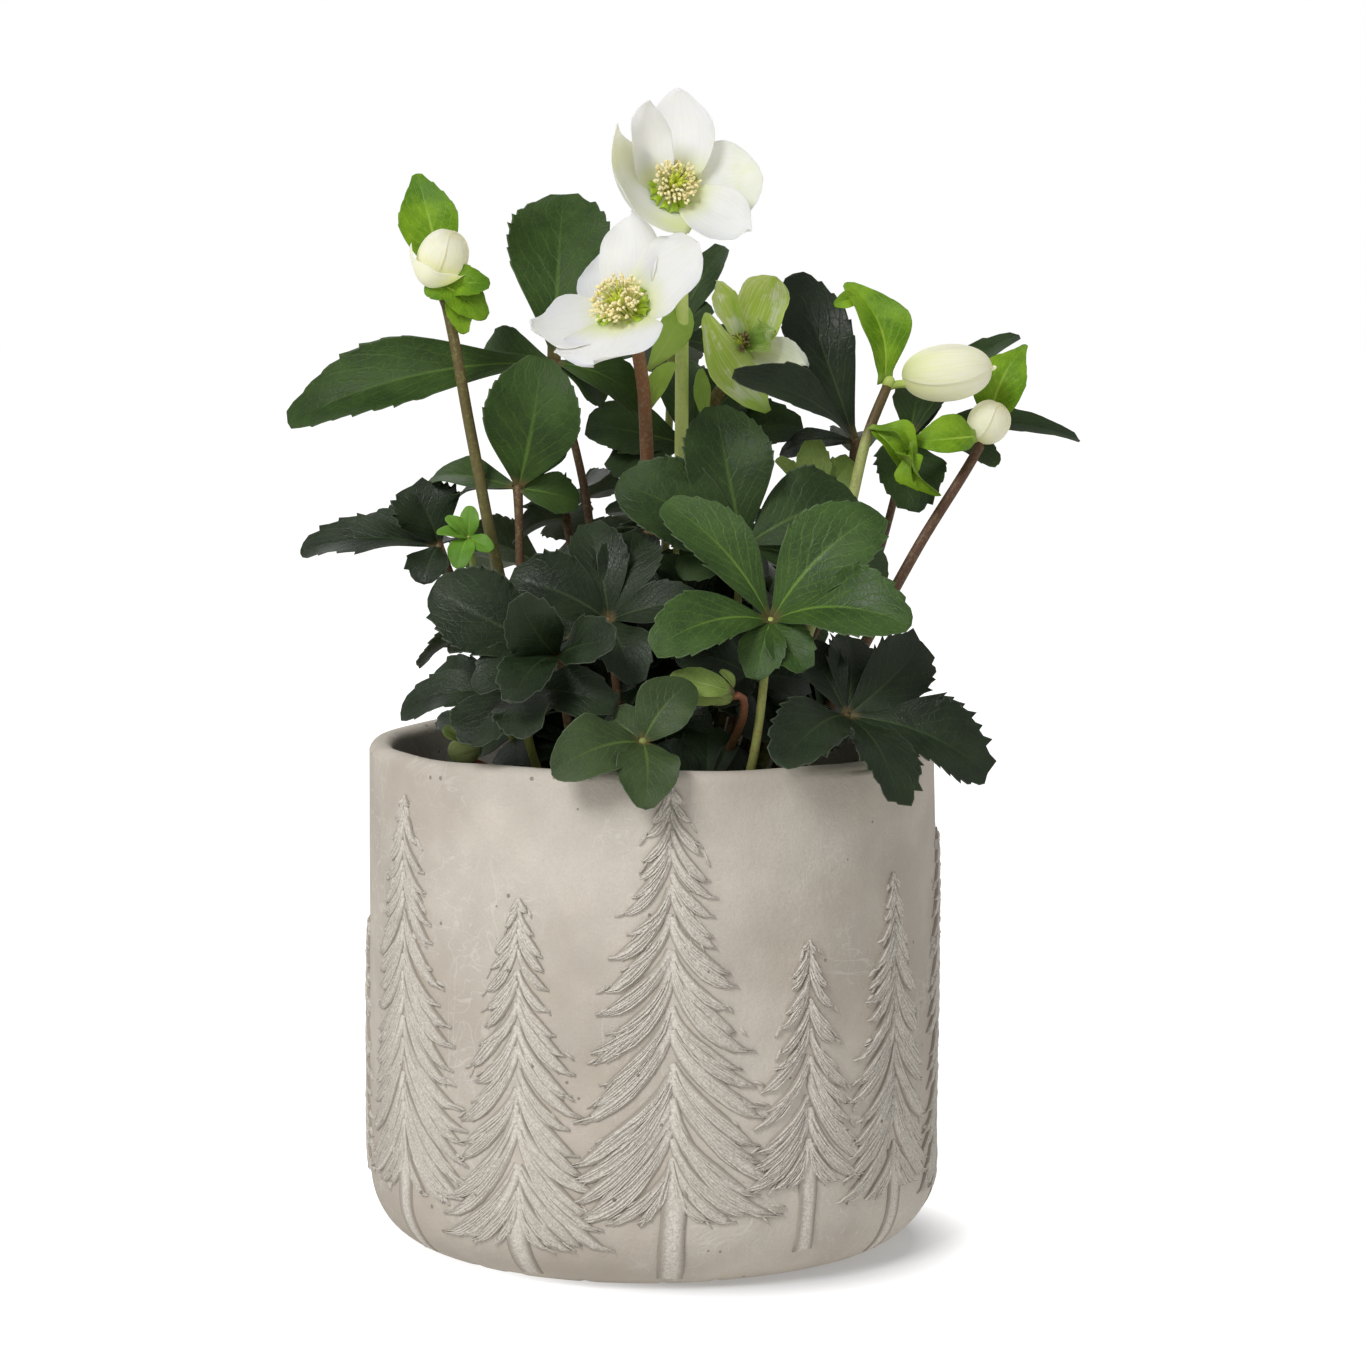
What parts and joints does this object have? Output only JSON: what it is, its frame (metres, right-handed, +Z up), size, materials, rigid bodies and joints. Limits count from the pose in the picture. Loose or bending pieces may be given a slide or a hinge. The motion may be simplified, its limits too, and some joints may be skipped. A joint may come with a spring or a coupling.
{
  "type": "potted christmas rose",
  "caption": "Flowering christmas rose in a plastic grow pot, stood loose in a round cement cover pot with fir trees in low relief; stands on a table or sill.",
  "frame": {"origin": "centre of the cover pot's flat underside", "axes": "+Z up the pot's axis, -Y towards the front, +X to the right seen from the front"},
  "size_m": [0.2394, 0.2017, 0.3425],
  "materials": {
    "cement": "matt cast cement, warm grey, with small air holes and fine scratches",
    "grow_pot_plastic": "thin black moulded plastic",
    "potting_soil": "moist dark peat and bark fibre, crumbly",
    "leaf_dark": "leathery dark green, satin, pale midrib",
    "leaf_young": "soft bright yellow-green",
    "stem": "smooth green stem speckled red-brown",
    "petal_white": "soft ivory white, faint veins, green tint at the base",
    "petal_aged": "ageing green petal with paler veins",
    "stamen": "cream yellow anthers round green carpels"
  },
  "bodies": {
    "root": {"bud_far_right": "petal_white", "bud_far_right_bract_1": "leaf_young", "bud_far_right_bract_2": "leaf_young", "bud_far_right_stem": "stem", "bud_left": "petal_white", "bud_left_bract_1": "leaf_young", "bud_left_bract_2": "leaf_young", "bud_left_stem": "stem", "bud_right": "petal_white", "bud_right_bract_1": "leaf_young", "bud_right_bract_2": "leaf_young", "bud_right_stem": "stem", "cement_pot": "cement", "flower_aged_centre": "stamen", "flower_aged_petal_1": "petal_aged", "flower_aged_petal_2": "petal_aged", "flower_aged_petal_3": "petal_aged", "flower_aged_petal_4": "petal_aged", "flower_aged_petal_5": "petal_aged", "flower_aged_stem": "stem", "flower_lower_centre": "stamen", "flower_lower_petal_1": "petal_white", "flower_lower_petal_2": "petal_white", "flower_lower_petal_3": "petal_white", "flower_lower_petal_4": "petal_white", "flower_lower_petal_5": "petal_white", "flower_lower_stem": "stem", "flower_top_centre": "stamen", "flower_top_petal_1": "petal_white", "flower_top_petal_2": "petal_white", "flower_top_petal_3": "petal_white", "flower_top_petal_4": "petal_white", "flower_top_petal_5": "petal_white", "flower_top_stem": "stem", "grow_pot": "grow_pot_plastic", "leaf_back_left": "leaf_dark", "leaf_back_low": "leaf_dark", "leaf_back_middle": "leaf_dark", "leaf_back_right": "leaf_dark", "leaf_back_side_left": "leaf_dark", "leaf_back_side_right": "leaf_dark", "leaf_front": "leaf_dark", "leaf_inner_right": "leaf_dark", "leaf_inner_tall": "leaf_dark", "leaf_left_front": "leaf_dark", "leaf_left_inner": "leaf_dark", "leaf_left_low": "leaf_dark", "leaf_left_mid": "leaf_dark", "leaf_left_side": "leaf_dark", "leaf_left_tall": "leaf_dark", "leaf_middle": "leaf_dark", "leaf_over_rim": "leaf_dark", "leaf_right_low": "leaf_dark", "leaf_right_side": "leaf_dark", "leaf_right_tall": "leaf_dark", "low_bud_left": "leaf_young", "low_bud_middle": "leaf_young", "soil": "potting_soil", "young_leaf_left": "leaf_young", "young_leaf_right": "leaf_young"}
  },
  "joints": []
}
